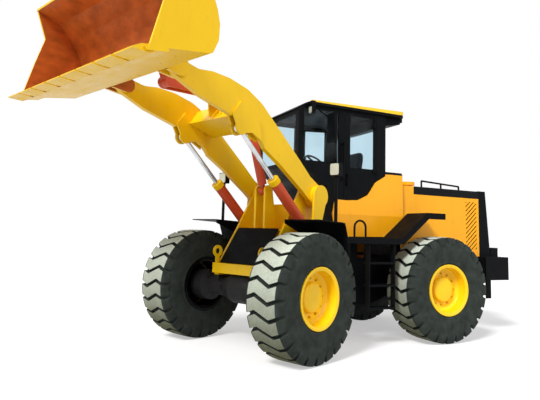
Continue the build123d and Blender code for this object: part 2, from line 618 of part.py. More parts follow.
def boom():
    arm = boom_plate([
        (0, 150), (249, 160), (531, 232), (1050, 350), (1490, 448, 300), (1760, 448, 250), (2060, 375, 250),
        (2300, 272, 120), (2470, 160, 150), (2673, 105), (2673, -105), (2311, -82), (2044, -28, 200),
        (1800, 20, 100), (1400, 0, 200), (817, -31), (290, -95), (0, -150)], ARM_X)
    rod_room = boom_plate([
        (1120, -80), (1190, 0), (1330, 56), (1482, 96), (1560, 160), (1760, 160), (1820, 90), (1820, -80)],
        (ARM_X[0] - 5, ARM_X[1] + 5))
    foot_hub = disc(BOOM_FOOT, 150, (455, 605))
    tip = boom_point(BOOM_LENGTH, 0)
    tip_hub = disc(tip, 105, (490, 570))
    eye = boom_point(*LIFT_EYE_UV)
    cheeks = []
    for x in ((470, 495), (565, 590)):
        cheek = boom_plate([
            (1290, 18), (1330, 90), (1470, 250), (1800, 250), (1840, 40), (1700, -60), (1580, -60), (1460, 18)], x)
        cheeks.append(joined(cheek, disc(eye, 92, x)))
    arms = []
    for arm_side in both(joined((joined(arm, foot_hub, tip_hub) - rod_room), *cheeks)):
        arms.append(arm_side)
    box_section = boom_plate([(1250, 235), (1690, 148), (1620, 420), (1330, 380)], (-ARM_X[0], ARM_X[0]))
    ears = both(joined(
        boom_plate([(1560, 380), (1680, 220), (1900, 540), (1720, 640)], (86, 116)),
        disc(BELLCRANK_PIVOT, 95, (86, 116))))
    front("boom", joined(*arms, box_section, *ears))


def bucket():
    """Shell, side plates, edge and hinge brackets about the bucket pin."""
    skin = 20
    outer = [
        (-902, -34), (-205, -34, 60), (-112, 98), (-76, 250), (-84, 390), (-112, 500), (-190, 700), (-330, 900),
        (-594, 1043)]
    inner = [
        (-594, 1043 - 22), (-345, 884), (-210, 690), (-134, 495), (-106, 390), (-98, 250), (-132, 105),
        (-215, -10, 60), (-902, -14)]
    shell = plate(outer + inner, (-BUCKET_HALF, BUCKET_HALF))
    cheek_outline = [
        (-902, -34), (-205, -34, 60), (-112, 98), (-76, 250), (-84, 390), (-112, 500), (-190, 700), (-330, 900),
        (-594, 1043), (-536, 684), (-699, 377)]
    cheeks = both(plate(cheek_outline, (BUCKET_HALF - 25, BUCKET_HALF)))
    lip = plate([(-950, -34), (-700, -34), (-700, -64), (-930, -64)], (-BUCKET_HALF, BUCKET_HALF))
    teeth = []
    for index in range(TOOTH_COUNT):
        x = (index - (TOOTH_COUNT - 1) / 2) * TOOTH_PITCH
        teeth.append(plate([
            (-1050, -36), (-960, -8), (-740, -4), (-740, -34), (-890, -84), (-1050, -46)],
            (x - TOOTH_HALF, x + TOOTH_HALF)))
    brackets = []
    for x in ((ARM_X[0] - 50, ARM_X[0] - 15), (ARM_X[1] + 15, ARM_X[1] + 50)):
        bracket = plate([
            (-205, -34), (-30, -90), (70, -60), (70, 60), (-60, 330), (-84, 380), (-76, 250), (-112, 98)], x)
        brackets += both(joined(bracket, disc((0, 0), 95, x)))
    tip = boom_point(BOOM_LENGTH, 0)
    length, angle = span(tip, LINK_BUCKET)
    centre = along((0, 0), angle + BUCKET_TILT, length)
    for side in (1, -1):
        x = sorted((side * 45, side * 75))
        ear = plate([
            (-84, 150), (centre[0] + 60, centre[1] - 60), (centre[0] + 60, centre[1] + 60),
            (-112, 500), (-84, 390), (-76, 250)], x)
        brackets.append(joined(ear, disc(centre, 75, x)))
    whole = joined(shell, *cheeks, lip, *teeth, *brackets)
    place = Pos(0, *tip) * Rot(BUCKET_TILT, 0, 0)
    front("bucket", place * whole)


def linkage():
    crank_plates = []
    for side in (1, -1):
        x = sorted(side * value for value in CRANK_EARS)
        crank_plates.append(joined(
            plate([
                (TILT_EYE[0] + 60, TILT_EYE[1] + 40), (TILT_EYE[0] + 40, TILT_EYE[1] - 70),
                (BELLCRANK_PIVOT[0], BELLCRANK_PIVOT[1] - 130), (BELLCRANK_LINK[0], BELLCRANK_LINK[1] - 70),
                (BELLCRANK_LINK[0], BELLCRANK_LINK[1] + 70), (BELLCRANK_PIVOT[0], BELLCRANK_PIVOT[1] + 130)], x),
            disc(TILT_EYE, 75, x), disc(BELLCRANK_PIVOT, 130, x), disc(BELLCRANK_LINK, 70, x)))
    hub = disc(BELLCRANK_PIVOT, 90, (-CRANK_EARS[0], CRANK_EARS[0]))
    front("bellcrank", joined(*crank_plates, hub))
    length, angle = span(BELLCRANK_LINK, LINK_BUCKET)
    link = Pos(0, *BELLCRANK_LINK) * Rot(-angle, 0, 0) * plate(
        [(0, -45), (-length, -45), (-length, 45), (0, 45)], (-38, 38))
    front("bucket_link", joined(link, disc(BELLCRANK_LINK, 68, (-38, 38)), disc(LINK_BUCKET, 68, (-38, 38))))


def cylinder_set(length, retract, barrel_length, barrel_radius, rod_radius, eye_radius, half_width):
    """Barrel and rod lying along -Y from the base pin at the origin, eyes turning about X.
    The bore leaves room for the rod to go in by retract from the length that it is drawn at."""
    shoulder = eye_radius + 30
    floor = shoulder + 25
    barrel = joined(
        disc((0, 0), eye_radius, (-half_width, half_width)),
        bar((0, 0, 0), (0, -shoulder - 5, 0), half_width * 0.9),
        bar((0, -shoulder, 0), (0, -barrel_length, 0), barrel_radius),
        bar((0, -barrel_length + 70, 0), (0, -barrel_length, 0), barrel_radius + GLAND))
    bore = bar((0, -floor, 0), (0, -barrel_length - 5, 0), rod_radius + RUNNING_GAP)
    rod = joined(
        bar((0, -floor - retract - 8, 0), (0, -length + eye_radius * 0.6, 0), rod_radius),
        disc((-length, 0), eye_radius, (-half_width, half_width)))
    return barrel - bore, rod


def cylinder(base, eye, x, *sizes):
    """Barrel and rod in an upright plane between two (y, z) pins."""
    length, angle = span(base, eye)
    turn = Pos(x, *base) * Rot(-angle, 0, 0)
    barrel, rod = cylinder_set(length, *sizes)
    return turn * barrel, turn * rod


# each cylinder: how far the rod goes in, barrel's length and radius,
# radius of the rod and of the eyes, half the eyes' width
LIFT_SIZES = (602, 1060, 72, 30, 68, CYLINDER_EYE_HALF)
TILT_SIZES = (66, 800, 62, 30, 62, 38)
STEER_SIZES = {"left": (84, 530, 38, 22, 42, 30), "right": (309, 530, 38, 22, 42, 30)}
GLAND = 5


def cylinders():
    eye = boom_point(*LIFT_EYE_UV)
    for side, name in ((1, "left"), (-1, "right")):
        barrel, rod = cylinder(LIFT_BASE, eye, side * LIFT_X, *LIFT_SIZES)
        front("lift_barrel_" + name, barrel)
        front("lift_rod_" + name, rod)
    barrel, rod = cylinder(TILT_BASE, TILT_EYE, 0, *TILT_SIZES)
    front("tilt_barrel", barrel)
    front("tilt_rod", rod)
    for side, name in ((1, "left"), (-1, "right")):
        eye_now = Rot(0, 0, ARTICULATION) * Pos(side * STEER_EYE[0], STEER_EYE[1], STEER_BASE[2])
        base_now = Vector(side * STEER_BASE[0], STEER_BASE[1], STEER_BASE[2])
        reach = eye_now.position - base_now
        heading = math.degrees(math.atan2(-reach.X, -reach.Y))
        barrel, rod = cylinder_set(reach.length, *STEER_SIZES[name])
        turn = Pos(*base_now) * Rot(0, 0, -heading) * Rot(0, 90, 0)
        rear("steer_barrel_" + name, turn * barrel)
        rear("steer_rod_" + name, turn * rod)


# ---- build and write --------------------------------------------------------

def write_parts():
    os.makedirs("parts", exist_ok=True)
    for name, solids in NODES.items():
        shape = solids[0] if len(solids) == 1 else Compound(children=solids)
        export_step(shape, "parts/" + name + ".step")


wheels()
drive_line()
rear_frame()
counterweight()
side_skins()
hood()
decks()
cab()
cab_inside()
front_frame()
boom()
bucket()
linkage()
cylinders()
write_parts()
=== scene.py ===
import json
import math

import bmesh
import bpy
import numpy as np
from mathutils import Matrix, Vector


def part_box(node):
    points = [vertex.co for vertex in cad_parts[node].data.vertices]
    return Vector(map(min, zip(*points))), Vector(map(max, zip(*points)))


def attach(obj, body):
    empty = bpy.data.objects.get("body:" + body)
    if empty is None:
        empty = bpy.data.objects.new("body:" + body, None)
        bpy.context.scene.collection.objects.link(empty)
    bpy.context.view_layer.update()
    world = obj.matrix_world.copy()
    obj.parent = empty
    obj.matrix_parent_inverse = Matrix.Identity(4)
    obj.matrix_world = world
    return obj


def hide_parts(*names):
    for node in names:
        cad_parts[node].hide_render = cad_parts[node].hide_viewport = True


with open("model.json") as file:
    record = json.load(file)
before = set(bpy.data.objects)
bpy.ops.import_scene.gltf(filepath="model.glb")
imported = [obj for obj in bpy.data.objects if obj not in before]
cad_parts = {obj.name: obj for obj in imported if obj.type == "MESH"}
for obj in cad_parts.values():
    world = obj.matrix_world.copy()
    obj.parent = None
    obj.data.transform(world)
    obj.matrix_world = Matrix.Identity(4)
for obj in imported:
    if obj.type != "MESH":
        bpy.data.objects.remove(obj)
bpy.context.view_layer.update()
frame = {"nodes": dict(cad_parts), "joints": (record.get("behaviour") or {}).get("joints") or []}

bl_info = {
    "name": "Wheel loader",
    "version": (1, 0, 0),
    "blender": (4, 5, 0),
    "location": "View3D > Sidebar > Loader",
    "description": "Finishes and fittings of an articulated wheel loader",
    "category": "Add Mesh",
}

JOINTS = {joint["name"]: joint for joint in frame["joints"]}


def srgb(red, green, blue):
    """Linear colour of an 0-255 display colour."""
    value = np.array([red, green, blue]) / 255
    return tuple(np.where(value <= 0.04045, value / 12.92, ((value + 0.055) / 1.055) ** 2.4))


def place_of(origin, axis, height=0.0):
    """4 x 4 matrix of a frame whose X runs along a level axis from an origin."""
    angle = math.atan2(axis[1], axis[0])
    return Matrix.Translation((origin[0], origin[1], height)) @ Matrix.Rotation(angle, 4, "Z")


CENTRE_PIN = JOINTS["steer"]["pos_m"]
FRONT_AXIS = [-value for value in JOINTS["boom_lift"]["axis"]]
REAR = np.array(place_of(CENTRE_PIN, (1, 0, 0)))
FRONT = np.array(place_of(CENTRE_PIN, FRONT_AXIS))


# ---- sizes and colours a user may change ----------------------------------------

class LoaderSizes(bpy.types.PropertyGroup):
    lug_count: bpy.props.IntProperty(
        name="Lugs", description="Lugs around one tyre", default=25, min=8, max=60)
    lug_depth: bpy.props.FloatProperty(
        name="Lug depth", description="From a lug's face to the groove's floor", default=0.042,
        min=0.005, max=0.08, unit="LENGTH", subtype="DISTANCE")
    groove_share: bpy.props.FloatProperty(
        name="Groove", description="Share of a lug's pitch that is groove", default=0.25,
        min=0.05, max=0.6, subtype="FACTOR")
    zigzag: bpy.props.FloatProperty(
        name="Zigzag", description="How far a lug's two kinks step round the tyre",
        default=math.radians(3.4), min=0.0, max=math.radians(8), subtype="ANGLE")
    tread_phase: bpy.props.FloatProperty(
        name="Tread phase", description="How far a groove lies past straight down",
        default=math.radians(1.5), subtype="ANGLE")
    nut_count: bpy.props.IntProperty(
        name="Wheel nuts", description="Nuts on one wheel", default=12, min=4, max=24)
    floor_size: bpy.props.FloatProperty(
        name="Floor", description="Side of the floor", default=120.0, min=10.0, unit="LENGTH")


def colour_property(name, description, red, green, blue):
    """A colour picker whose default is an 0-255 display colour."""
    return bpy.props.FloatVectorProperty(
        name=name, description=description, subtype="COLOR", size=3, min=0.0, max=1.0,
        default=srgb(red, green, blue))


class LoaderColours(bpy.types.PropertyGroup):
    yellow: colour_property("Yellow", "Boom, front frame, roof and bucket", 255, 205, 12)
    orange: colour_property("Orange", "Side covers and hood", 255, 174, 14)
    rim: colour_property("Rims", "Wheel rims and hub covers", 255, 206, 16)
    black: colour_property("Black", "Cab, walkways, counterweight and rear frame", 8, 10, 12)
    iron: colour_property("Iron", "Axles, pins and engine", 30, 30, 30)
    # Painted shade: the gearbox's orange paint, darkened to the brown it shows in the shade under the
    # machine.
    gearbox_orange_in_shade: colour_property("Gearbox", "Gearbox casting", 170, 90, 30)
    red: colour_property("Cylinders", "Cylinder barrels", 216, 82, 44)
    steel: colour_property("Worn steel", "Inside of the bucket", 196, 106, 46)
    rubber: colour_property("Rubber", "Tyre walls", 42, 48, 44)
    # Tyre dust in two colours: the pale one paints light onto the upper lugs, the olive one paints shade
    # onto the lower lugs; both are the same dust.
    dust: colour_property("Dust", "Dust on the upper half of the tyres' faces", 198, 206, 192)
    shaded_dust: colour_property("Dried mud", "Dust on the lower half of the tyres' faces", 96, 98, 72)
    glass: colour_property("Glass", "Tint of the panes", 222, 238, 245)
    cloth: colour_property("Seat cloth", "Seat cushions", 40, 42, 48)


# ---- materials --------------------------------------------------------------------

class Surface:
    """A material under construction: each call adds a node and returns its output."""

    def __init__(self, name):
        self.material = bpy.data.materials.new(name)
        self.material.use_nodes = True
        self.tree = self.material.node_tree
        self.tree.nodes.clear()
        self.place = self.add("ShaderNodeTexCoord").outputs["Object"]

    def add(self, kind, **settings):
        node = self.tree.nodes.new(kind)
        for name, value in settings.items():
            setattr(node, name, value)
        return node

    def put(self, socket, value):
        if isinstance(value, bpy.types.NodeSocket):
            self.tree.links.new(value, socket)
        elif isinstance(value, (tuple, list)) and len(value) == 3 and socket.type == "RGBA":
            socket.default_value = (*value, 1.0)
        else:
            socket.default_value = value

    def stretched(self, scale):
        node = self.add("ShaderNodeMapping")
        self.put(node.inputs["Vector"], self.place)
        node.inputs["Scale"].default_value = scale
        return node.outputs["Vector"]

    def noise(self, scale, detail=3.0, place=None):
        node = self.add("ShaderNodeTexNoise")
        self.put(node.inputs["Vector"], place or self.place)
        node.inputs["Scale"].default_value = scale
        node.inputs["Detail"].default_value = detail
        return node.outputs["Fac"]

    def math(self, operation, first, second=0.5, clamp=False):
        node = self.add("ShaderNodeMath", operation=operation, use_clamp=clamp)
        self.put(node.inputs[0], first)
        self.put(node.inputs[1], second)
        return node.outputs[0]

    def vector(self, operation, first, second=(0, 0, 0)):
        node = self.add("ShaderNodeVectorMath", operation=operation)
        self.put(node.inputs[0], first)
        self.put(node.inputs[1], second)
        return node.outputs["Value" if operation in ("DOT_PRODUCT", "LENGTH") else "Vector"]

    def range(self, value, low, high, to_low=0.0, to_high=1.0):
        node = self.add("ShaderNodeMapRange", clamp=True)
        self.put(node.inputs["Value"], value)
        for name, number in zip(("From Min", "From Max", "To Min", "To Max"), (low, high, to_low, to_high)):
            node.inputs[name].default_value = number
        return node.outputs["Result"]

    def mix(self, share, first, second, blend="MIX"):
        node = self.add("ShaderNodeMix", data_type="RGBA", blend_type=blend)
        self.put(node.inputs["Factor"], share)
        colours = [socket for socket in node.inputs if socket.type == "RGBA"]
        self.put(colours[0], first)
        self.put(colours[1], second)
        return node.outputs[2]

    def bump(self, height, distance, strength=1.0, normal=None):
        node = self.add("ShaderNodeBump")
        self.put(node.inputs["Height"], height)
        node.inputs["Distance"].default_value = distance
        node.inputs["Strength"].default_value = strength
        if normal is not None:
            self.put(node.inputs["Normal"], normal)
        return node.outputs["Normal"]

    def edges(self, radius):
        """0 on flat faces and towards 1 where two faces meet."""
        rounded = self.add("ShaderNodeBevel", samples=4)
        rounded.inputs["Radius"].default_value = radius
        flat = self.add("ShaderNodeNewGeometry").outputs["Normal"]
        alike = self.vector("DOT_PRODUCT", rounded.outputs["Normal"], flat)
        return self.range(alike, 0.995, 0.8)

    def corners(self, distance):
        """1 in the open and towards 0 in corners and behind other pieces."""
        node = self.add("ShaderNodeAmbientOcclusion", samples=4, only_local=True)
        node.inputs["Distance"].default_value = distance
        return node.outputs["AO"]

    def split(self, vector):
        node = self.add("ShaderNodeSeparateXYZ")
        self.put(node.inputs[0], vector)
        return node.outputs

    def finish(self, colour, roughness, normal=None, **plain):
        shader = self.add("ShaderNodeBsdfPrincipled")
        self.put(shader.inputs["Base Color"], colour)
        self.put(shader.inputs["Roughness"], roughness)
        if normal is not None:
            self.put(shader.inputs["Normal"], normal)
        for name, value in plain.items():
            self.put(shader.inputs[name.replace("_", " ")], value)
        output = self.add("ShaderNodeOutputMaterial")
        self.tree.links.new(shader.outputs[0], output.inputs["Surface"])
        return self.material


MATT_SPECULAR = 0.06


def scaled(colour, factor):
    return tuple(min(1.0, value * factor) for value in colour[:3])


def enamel(name, colour, gloss=0.32, chips=0.35, dust=0.25, dust_colour=None, mask=None, coat=0.1,
           specular=0.3):
    """Sprayed enamel: slow drift in tone, dust in the corners that on the light paints is painted shade as
    well, chipped edges, faint orange peel.
    mask, a function of the surface, gives (share, colour) of a second, matt colour over part of it: a
    second coat, worn steel, or the painted shade on a rim's inboard side."""
    surface = Surface(name)
    drift = surface.range(surface.noise(1.3, 4), 0.3, 0.7)
    body = surface.mix(drift, scaled(colour, 0.93), colour)
    streaks = surface.noise(9, 5, surface.stretched((1, 1, 0.18)))
    body = surface.mix(surface.range(streaks, 0.52, 0.75, 0, 0.14), body, scaled(colour, 0.62))
    if mask is not None:
        share, second = mask(surface)
        body = surface.mix(share, body, second)
        specular = surface.range(share, 0, 1, specular, MATT_SPECULAR)
    # Occlusion darkens the corners: on the light paints this dark brown is painted shade where shade falls,
    # as well as dust; on black it is only dust.
    corner = surface.math("SUBTRACT", 1.0, surface.corners(0.09))
    patches = surface.range(surface.noise(18, 4), 0.3, 0.75)
    dust_and_shade_share = surface.math("MULTIPLY", surface.range(corner, 0.35, 0.95), patches)
    dust_and_shade_colour = dust_colour or srgb(96, 70, 44)
    body = surface.mix(surface.math("MULTIPLY", dust_and_shade_share, dust * 2.2, True), body, dust_and_shade_colour)
    edge = surface.math("MULTIPLY", surface.edges(0.006), surface.range(surface.noise(38, 4), 0.5, 0.62))
    body = surface.mix(surface.math("MULTIPLY", edge, chips), body, srgb(70, 56, 44))
    rough = surface.range(surface.noise(7, 4), 0.3, 0.75, gloss - 0.06, gloss + 0.16)
    normal = surface.bump(surface.noise(160, 2), 0.0006, 0.35)
    return surface.finish(body, rough, normal, Coat_Weight=coat, Coat_Roughness=0.12,
                          Specular_IOR_Level=specular)


def casting(name, colour, roughness=0.55):
    """Painted rough casting: grain, oil stains and settled dust, which in the corners of the brown gearbox
    is painted shade as well.
    """
    surface = Surface(name)
    drift = surface.range(surface.noise(6, 5), 0.3, 0.7)
    body = surface.mix(drift, scaled(colour, 0.6), scaled(colour, 1.25))
    # Occlusion mask: dark brown in the corners, which is dust on the dark iron and painted shade on the
    # lighter gearbox.
    corner = surface.math("SUBTRACT", 1.0, surface.corners(0.12))
    body = surface.mix(surface.range(corner, 0.3, 0.9, 0, 0.5), body, srgb(58, 44, 32))
    edge = surface.math("MULTIPLY", surface.edges(0.008), surface.noise(30, 4))
    body = surface.mix(surface.math("MULTIPLY", edge, 0.5), body, scaled(colour, 1.9))
    grain = surface.bump(surface.noise(90, 5), 0.002, 0.5)
    rough = surface.range(surface.noise(12, 4), 0.3, 0.7, roughness - 0.1, roughness + 0.2)
    return surface.finish(body, rough, grain, Specular_IOR_Level=0.2)


def chromed(name):
    """Polished piston rod: a fine grain, an oil film and a little dust."""
    surface = Surface(name)
    film = surface.noise(5, 4, surface.stretched((1, 1, 1)))
    body = surface.mix(surface.range(film, 0.4, 0.7, 0, 0.5), srgb(214, 216, 220), srgb(150, 146, 138))
    rough = surface.range(surface.noise(60, 3), 0.3, 0.7, 0.1, 0.28)
    return surface.finish(body, rough, surface.bump(surface.noise(220, 2), 0.0003, 0.3), Metallic=1.0)


def rubber(name, colours):
    """Tyre rubber: dark in the grooves and on the walls, dusty on the lugs' faces, with painted light on
    the upper lugs and painted shade on the lower ones.
    """
    surface = Surface(name)
    face = surface.add("ShaderNodeAttribute", attribute_name="tread").outputs["Fac"]
    shade = surface.range(surface.noise(8, 5), 0.3, 0.7)
    body = surface.mix(shade, scaled(colours.rubber, 0.6), scaled(colours.rubber, 1.3))
    # Painted light and shade: the lugs' dust goes from olive low down to pale high up, as light falls from
    # above.
    height = surface.split(surface.place)["Z"]
    wavy = surface.math("ADD", height, surface.math("MULTIPLY", surface.noise(5, 4), 0.35))
    dust_lit_and_shaded = surface.mix(surface.range(wavy, 0.35, 1.45), tuple(colours.shaded_dust), tuple(colours.dust))
    patches = surface.range(surface.noise(60, 5), 0.25, 0.6, 0.72, 1.0)
    share = surface.math("MULTIPLY", surface.range(face, 0.85, 1.0), patches)
    body = surface.mix(share, body, dust_lit_and_shaded)
    grain = surface.bump(surface.noise(120, 4), 0.0015, 0.5)
    pits = surface.bump(surface.noise(22, 5), 0.004, 0.35, grain)
    rough = surface.range(surface.noise(15, 3), 0.3, 0.7, 0.7, 0.95)
    return surface.finish(body, rough, pits, Specular_IOR_Level=0.2)


def pane(name, tint):
    """Tinted safety glass: clear, a little bluer through its thickness, with faint smears."""
    surface = Surface(name)
    smear = surface.noise(3, 4, surface.stretched((1, 1, 0.4)))
    colour = surface.mix(surface.range(smear, 0.4, 0.7, 0, 0.4), tuple(tint), scaled(tint, 0.9))
    rough = surface.range(smear, 0.35, 0.75, 0.0, 0.02)
    return surface.finish(colour, rough, Transmission_Weight=1.0, IOR=1.14)


def moulded(name, colour, roughness=0.5):
    """Moulded plastic with a fine leather grain."""
    surface = Surface(name)
    cells = surface.add("ShaderNodeTexVoronoi", feature="DISTANCE_TO_EDGE")
    surface.put(cells.inputs["Vector"], surface.place)
    cells.inputs["Scale"].default_value = 260
    drift = surface.range(surface.noise(5, 4), 0.3, 0.7)
    body = surface.mix(drift, scaled(colour, 0.75), scaled(colour, 1.3))
    grain = surface.bump(surface.range(cells.outputs["Distance"], 0.0, 0.3), 0.0008, 0.5)
    rough = surface.range(surface.noise(20, 3), 0.3, 0.7, roughness - 0.08, roughness + 0.1)
    return surface.finish(body, rough, grain)


def woven(name, colour):
    """Seat cloth: two sets of threads crossing, with a soft sheen."""
    surface = Surface(name)
    threads = []
    for turn in ((1, 0, 0), (0, 1, 0.7)):
        node = surface.add("ShaderNodeTexWave", wave_type="BANDS", bands_direction="X")
        shift = surface.vector("DOT_PRODUCT", surface.place, turn)
        joined = surface.add("ShaderNodeCombineXYZ")
        surface.put(joined.inputs[0], shift)
        surface.put(node.inputs["Vector"], joined.outputs[0])
        node.inputs["Scale"].default_value = 90
        threads.append(node.outputs["Fac"])
    weave = surface.math("MULTIPLY", threads[0], threads[1])
    body = surface.mix(surface.range(weave, 0.1, 0.8), scaled(colour, 0.6), scaled(colour, 1.7))
    normal = surface.bump(weave, 0.0012, 0.6)
    return surface.finish(body, 0.85, normal, Sheen_Weight=0.3, Sheen_Roughness=0.5)


def lens(name):
    """Fluted lamp glass, drawn opaque: its pale colour, banded along the flutes, is painted reflection that
    stands in for a bright reflector behind it.
    """
    surface = Surface(name)
    flutes = surface.add("ShaderNodeTexWave", wave_type="BANDS", bands_direction="Z")
    surface.put(flutes.inputs["Vector"], surface.place)
    flutes.inputs["Scale"].default_value = 22
    # Painted reflection: lighter and darker bands along the flutes
    body = surface.mix(flutes.outputs["Fac"], srgb(150, 152, 132), srgb(212, 214, 196))
    return surface.finish(body, 0.3, surface.bump(flutes.outputs["Fac"], 0.002, 0.6), Coat_Weight=0.2)


def tinted_lens(name, colour):
    """Moulded coloured lamp lens with small prisms, each with a painted glint at its middle and painted
    shade towards its edges.
    """
    surface = Surface(name)
    cells = surface.add("ShaderNodeTexVoronoi", feature="F1")
    surface.put(cells.inputs["Vector"], surface.place)
    cells.inputs["Scale"].default_value = 120
    # Painted glints: each prism lighter at its middle, darker at its edges
    prism_glint = surface.range(cells.outputs["Distance"], 0.1, 0.6)
    body = surface.mix(prism_glint, scaled(colour, 1.2), scaled(colour, 0.6))
    return surface.finish(body, 0.15, surface.bump(cells.outputs["Distance"], 0.0015, 0.5), Coat_Weight=0.5)


def bucket_mask(colours):
    """Worn steel inside the bucket: on faces that look towards the middle of its room, behind the edge."""
    room_ahead, room_up = 0.52, 0.30           # middle of the room from the bucket's pin
    edge_ahead = 0.90                          # back of the cutting edge from the same pin
    pin = Vector(JOINTS["bucket_tilt"]["pos_m"])
    ahead = Vector((FRONT_AXIS[1], -FRONT_AXIS[0], 0))
    middle = pin + ahead * room_ahead + Vector((0, 0, room_up))

    def inside(surface):
        normal = surface.add("ShaderNodeTexCoord").outputs["Normal"]
        inward = surface.vector("SUBTRACT", tuple(middle), surface.place)
        facing = surface.vector("DOT_PRODUCT", normal, inward)
        from_pin = surface.vector("SUBTRACT", surface.place, tuple(pin))
        forward = surface.vector("DOT_PRODUCT", from_pin, tuple(ahead))
        behind_edge = surface.range(forward, edge_ahead, edge_ahead - 0.02)
        share = surface.math("MULTIPLY", surface.range(facing, 0.02, 0.05), behind_edge)
        scratches = surface.noise(5, 5, surface.stretched((1, 1, 2)))
        shade = surface.range(scratches, 0.3, 0.7)
        steel = surface.mix(shade, scaled(colours.steel, 0.72), scaled(colours.steel, 1.2))
        return share, steel

    return inside


def above(surface, value, limit):
    """1 where a value is over its limit and 0 below, with a step 2 mm wide."""
    return surface.range(value, limit - 0.001, limit + 0.001)


def hood_mask(colours):
    """Black band along the top of the hood's sides."""
    low, high, front = 2.138, 2.2625, CENTRE_PIN[1] + 1.36

    def band(surface):
        place = surface.split(surface.place)
        below_top = surface.range(place["Z"], high + 0.001, high - 0.001)
        normal = surface.split(surface.add("ShaderNodeTexCoord").outputs["Normal"])
        sideways = surface.range(surface.math("ABSOLUTE", normal["X"]), 0.6, 0.7)
        share = surface.math("MULTIPLY", above(surface, place["Z"], low), below_top)
        behind = above(surface, place["Y"], front)
        share = surface.math("MULTIPLY", surface.math("MULTIPLY", share, behind), sideways)
        return share, tuple(colours.black)

    return band


def cover_mask(colours):
    """Black strip along the top of the covers behind the cab."""
    low, front = 2.399, CENTRE_PIN[1] + 0.78

    def strip(surface):
        place = surface.split(surface.place)
        upper = above(surface, place["Z"], low)
        behind = above(surface, place["Y"], front)
        return surface.math("MULTIPLY", upper, behind), tuple(colours.black)

    return strip


def head_mask(colours, node):
    """Yellow on a barrel's head: the end farthest from its pin."""
    head_length = 0.071
    pin = np.array(JOINTS[node + "_pivot"]["pos_m"])
    reach = np.linalg.norm(coordinates(frame["nodes"][node].data) - pin, axis=1).max()

    def head(surface):
        away = surface.vector("LENGTH", surface.vector("SUBTRACT", surface.place, tuple(pin)))
        return above(surface, away, reach - head_length), tuple(colours.yellow)

    return head


def rim_inboard_shade(colours, joint, side):
    """Painted shade on the inboard side of a rim: black behind its dish, and on faces that look inboard,
    where the inside of the wheel lies in shade.
    """
    outboard = Vector(joint["axis"]) * side

    def inboard(surface):
        from_middle = surface.vector("SUBTRACT", surface.place, tuple(joint["pos_m"]))
        out = surface.vector("DOT_PRODUCT", from_middle, tuple(outboard))
        behind = surface.range(out, 0.045, 0.035)
        normal = surface.add("ShaderNodeTexCoord").outputs["Normal"]
        facing = surface.range(surface.vector("DOT_PRODUCT", normal, tuple(outboard)), -0.3, -0.5)
        return surface.math("MAXIMUM", behind, facing), tuple(colours.black)

    return inboard


# ---- surfaces -----------------------------------------------------------------------

def mesh_object(name, points, faces, smooth_angle=35.0):
    """An object at the origin from an array of points and an array of quads."""
    mesh = bpy.data.meshes.new(name)
    mesh.from_pydata(np.asarray(points, float).reshape(-1, 3), [], np.asarray(faces))
    mesh.validate()
    mesh.update()
    mesh.polygons.foreach_set("use_smooth", np.ones(len(mesh.polygons), bool))
    mesh.set_sharp_from_angle(angle=math.radians(smooth_angle))
    made = bpy.data.objects.new(name, mesh)
    bpy.context.scene.collection.objects.link(made)
    return made


def grid_faces(rows, columns, wrap_rows=True, wrap_columns=True):
    """Quads of a grid whose last row or column may join its first."""
    row = np.arange(rows if wrap_rows else rows - 1)
    column = np.arange(columns if wrap_columns else columns - 1)
    row, column = np.meshgrid(row, column, indexing="ij")
    next_row, next_column = (row + 1) % rows, (column + 1) % columns
    quads = np.stack([row * columns + column, row * columns + next_column,
                      next_row * columns + next_column, next_row * columns + column], axis=-1)
    return quads.reshape(-1, 4)


def moved(points, place):
    """Points of a local frame in the part's frame."""
    place = np.asarray(place)
    return points @ place[:3, :3].T + place[:3, 3]


def finished(obj, material, body, replaced=()):
    """Give a new piece its material, the body it rides on and the nodes it stands for."""
    obj.data.materials.clear()
    obj.data.materials.append(material)
    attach(obj, body)
    if replaced:
        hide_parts(*replaced)
    return obj


# half of the tyre's section from the tread's middle to the bead:
# x and radius of the groove's floor, then x and radius of the lug
HALF_SECTION = np.array([
    (0.000, 0.704, 0.000, 0.7465),
    (0.050, 0.704, 0.050, 0.7465),
    (0.098, 0.704, 0.098, 0.7463),
    (0.150, 0.703, 0.150, 0.7455),
    (0.200, 0.700, 0.204, 0.7430),
    (0.210, 0.696, 0.219, 0.7405),
    (0.217, 0.690, 0.227, 0.7330),
    (0.223, 0.680, 0.233, 0.7180),
    (0.231, 0.664, 0.243, 0.6900),
    (0.240, 0.648, 0.251, 0.6600),
    (0.247, 0.636, 0.254, 0.6420),
    (0.250, 0.630, 0.251, 0.6310),
    (0.255, 0.606, 0.255, 0.6060),
    (0.2595, 0.570, 0.2595, 0.5700),
    (0.2600, 0.530, 0.2600, 0.5300),
    (0.2585, 0.490, 0.2585, 0.4900),
    (0.2540, 0.452, 0.2540, 0.4520),
    (0.2480, 0.420, 0.2480, 0.4200),
    (0.2455, 0.408, 0.2455, 0.4080),
    (0.2480, 0.398, 0.2480, 0.3980),
    (0.2470, 0.384, 0.2470, 0.3840),
    (0.2380, 0.372, 0.2380, 0.3720),
    (0.2240, 0.364, 0.2240, 0.3640),
    (0.2220, 0.340, 0.2220, 0.3400),
    (0.2220, 0.3265, 0.2220, 0.3265),
])
# round one pitch: place from the groove's middle in half-widths of the groove, and height from floor to lug
GROOVE_COLUMNS = np.array([(-1.12, 1.0), (-1.0, 0.94), (-0.78, 0.06), (-0.6, 0.0), (0.0, 0.0),
                           (0.6, 0.0), (0.78, 0.06), (1.0, 0.94), (1.12, 1.0)])
FACE_COLUMNS = np.array([0.2, 0.4, 0.6, 0.8])


